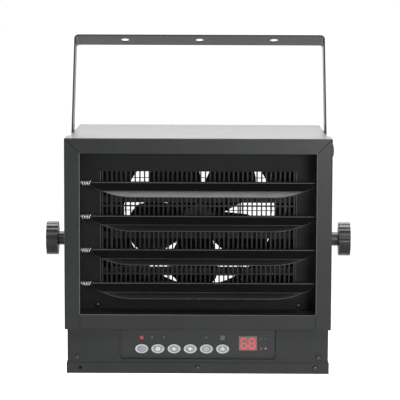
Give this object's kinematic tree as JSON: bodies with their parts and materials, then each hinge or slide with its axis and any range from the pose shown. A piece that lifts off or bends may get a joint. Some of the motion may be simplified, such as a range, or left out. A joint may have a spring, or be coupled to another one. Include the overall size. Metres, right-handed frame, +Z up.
{
  "type": "garage heater",
  "caption": "Ceiling-hung electric fan heater: folded steel cabinet with proud louvered bezel, sunken control strip, guarded rear inlet and a tilting strap bracket clamped by hand knobs.",
  "frame": {"origin": "middle of the flat underside", "axes": "+X to the right seen from the front, +Y to the back, +Z up"},
  "size_m": [0.4158, 0.2894, 0.45],
  "materials": {
    "charcoal_coat": "fine-textured charcoal powder coat",
    "louver_coat": "smooth charcoal powder coat",
    "bracket_coat": "smooth charcoal powder coat",
    "guard_coat": "satin black coat",
    "bare_sheet": "bare zinc-coated sheet",
    "bright_steel": "bright zinc-plated steel",
    "fin_metal": "heat-dulled finned steel",
    "fan_metal": "pressed aluminium",
    "motor_enamel": "black enamel",
    "black_plastic": "fine matt black moulding",
    "knob_plastic": "matt black moulding",
    "key_grey": "pale silver-grey moulding",
    "red_lens": "red lamp lens",
    "smoked_window": "smoked window",
    "board_green": "solder-masked board",
    "component_black": "moulded component cases"
  },
  "bodies": {
    "cabinet": {"cabinet_wrap": "charcoal_coat", "bottom_pan": "charcoal_coat", "bezel_hood": "charcoal_coat", "bezel_bottom_rail": "charcoal_coat", "control_panel": "charcoal_coat", "rear_panel": "charcoal_coat", "outlet_plate": "guard_coat", "outlet_guard": "guard_coat", "rear_guard": "guard_coat", "fan_shroud": "guard_coat", "divider_shelf": "bare_sheet", "element_bracket_left": "bare_sheet", "element_bracket_right": "bare_sheet", "motor_bracket": "bare_sheet", "louver_springs": "bright_steel", "tilt_nuts": "bright_steel", "heating_element_1": "fin_metal", "heating_element_2": "fin_metal", "heating_element_3": "fin_metal", "fan_motor": "motor_enamel", "control_fascia": "black_plastic", "cable_bushing": "black_plastic", "thermal_cutout": "black_plastic", "side_plug": "black_plastic", "power_led": "red_lens", "display_module": "smoked_window", "ir_window": "smoked_window", "control_board": "board_green", "tact_switches": "component_black", "power_relays": "component_black", "terminal_block": "component_black"},
    "bracket": {"mounting_bracket": "bracket_coat"},
    "knob_left": {"knob_left": "knob_plastic", "knob_stud_left": "bright_steel"},
    "knob_right": {"knob_right": "knob_plastic", "knob_stud_right": "bright_steel"},
    "fan": {"fan": "fan_metal", "motor_shaft": "bright_steel"},
    "louver_1": {"louver_blade_1": "louver_coat"},
    "louver_2": {"louver_blade_2": "louver_coat"},
    "louver_3": {"louver_blade_3": "louver_coat"},
    "louver_4": {"louver_blade_4": "louver_coat"},
    "power_key": {"power_button": "key_grey"},
    "mode_key": {"mode_button": "key_grey"},
    "warmer_key": {"warmer_button": "key_grey"},
    "cooler_key": {"cooler_button": "key_grey"},
    "timer_key": {"timer_button": "key_grey"},
    "fan_key": {"fan_button": "key_grey"}
  },
  "joints": [
    {"name": "bracket_tilt", "type": "hinge", "parent": "cabinet", "child": "bracket", "pos_m": [0, -0.0555, 0.1743], "axis": [-1, 0, 0], "range_deg": [-36, 62]},
    {"name": "knob_left_turn", "type": "hinge", "parent": "cabinet", "child": "knob_left", "pos_m": [-0.178, -0.0555, 0.1743], "axis": [1, 0, 0], "continuous": true},
    {"name": "knob_right_turn", "type": "hinge", "parent": "cabinet", "child": "knob_right", "pos_m": [0.178, -0.0555, 0.1743], "axis": [1, 0, 0], "continuous": true},
    {"name": "fan_spin", "type": "hinge", "parent": "cabinet", "child": "fan", "pos_m": [0, 0.046, 0.1916], "axis": [0, 1, 0], "continuous": true},
    {"name": "louver_1_tilt", "type": "hinge", "parent": "cabinet", "child": "louver_1", "pos_m": [0, -0.1275, 0.2575], "axis": [1, 0, 0], "range_deg": [-25, 45]},
    {"name": "louver_2_tilt", "type": "hinge", "parent": "cabinet", "child": "louver_2", "pos_m": [0, -0.1275, 0.2123], "axis": [1, 0, 0], "range_deg": [-25, 45]},
    {"name": "louver_3_tilt", "type": "hinge", "parent": "cabinet", "child": "louver_3", "pos_m": [0, -0.1275, 0.1671], "axis": [1, 0, 0], "range_deg": [-25, 45]},
    {"name": "louver_4_tilt", "type": "hinge", "parent": "cabinet", "child": "louver_4", "pos_m": [0, -0.1275, 0.1219], "axis": [1, 0, 0], "range_deg": [-25, 45]},
    {"name": "power_press", "type": "slide", "parent": "cabinet", "child": "power_key", "axis": [0, 1, 0], "range_m": [0, 0.0007], "stiffness_N_per_m": 500},
    {"name": "mode_press", "type": "slide", "parent": "cabinet", "child": "mode_key", "axis": [0, 1, 0], "range_m": [0, 0.0007], "stiffness_N_per_m": 500},
    {"name": "warmer_press", "type": "slide", "parent": "cabinet", "child": "warmer_key", "axis": [0, 1, 0], "range_m": [0, 0.0007], "stiffness_N_per_m": 500},
    {"name": "cooler_press", "type": "slide", "parent": "cabinet", "child": "cooler_key", "axis": [0, 1, 0], "range_m": [0, 0.0007], "stiffness_N_per_m": 500},
    {"name": "timer_press", "type": "slide", "parent": "cabinet", "child": "timer_key", "axis": [0, 1, 0], "range_m": [0, 0.0007], "stiffness_N_per_m": 500},
    {"name": "fan_press", "type": "slide", "parent": "cabinet", "child": "fan_key", "axis": [0, 1, 0], "range_m": [0, 0.0007], "stiffness_N_per_m": 500}
  ]
}
